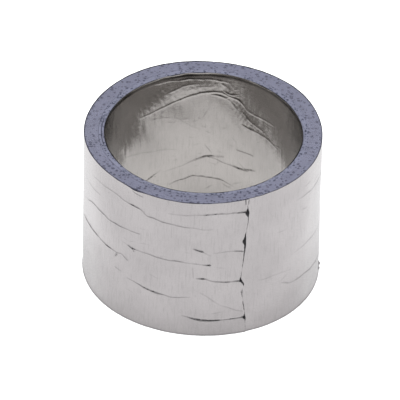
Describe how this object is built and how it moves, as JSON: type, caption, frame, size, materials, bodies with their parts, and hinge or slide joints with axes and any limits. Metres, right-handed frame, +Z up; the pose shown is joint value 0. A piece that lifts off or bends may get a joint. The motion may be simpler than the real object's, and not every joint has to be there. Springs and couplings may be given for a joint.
{
  "type": "copper foil tape roll",
  "caption": "Roll of tinned copper foil tape wound on a thin foil-lined core, with a free end that peels off its release liner.",
  "frame": {"origin": "centre of the end face that the roll stands on, on the axis of the bore", "axes": "+Z up along the axis of the bore; -Y is the front, where the free end of the tape lies, and the free edge is 21.4 degrees from -Y towards +X"},
  "size_m": [0.0913, 0.0915, 0.0635],
  "materials": {
    "foil": "satin",
    "adhesive": "satin",
    "liner": "matte",
    "core_board": "matte"
  },
  "bodies": {
    "roll": {"core_tube": "core_board", "bore_lining_adhesive": "adhesive", "bore_lining_foil": "foil", "wound_liner": "liner", "wound_adhesive": "adhesive", "wound_foil": "foil", "outer_turn_liner": "liner", "outer_turn_adhesive": "adhesive", "outer_turn_foil": "foil"},
    "tape_end": {"tail_foil": "foil", "tail_adhesive": "adhesive"},
    "liner_end": {"tail_liner": "liner"}
  },
  "joints": [
    {"name": "tape_end_peel", "type": "hinge", "parent": "roll", "child": "tape_end", "pos_m": [0.00113, -0.04576, 0.03175], "axis": [0, 0, -1], "range_deg": [0, 80]},
    {"name": "liner_end_peel", "type": "hinge", "parent": "roll", "child": "liner_end", "pos_m": [0.00113, -0.04576, 0.03175], "axis": [0, 0, -1], "range_deg": [0, 40]}
  ],
  "couplings": [
    {"joint": "liner_end_peel", "follows": "tape_end_peel", "ratio": 0.5}
  ]
}
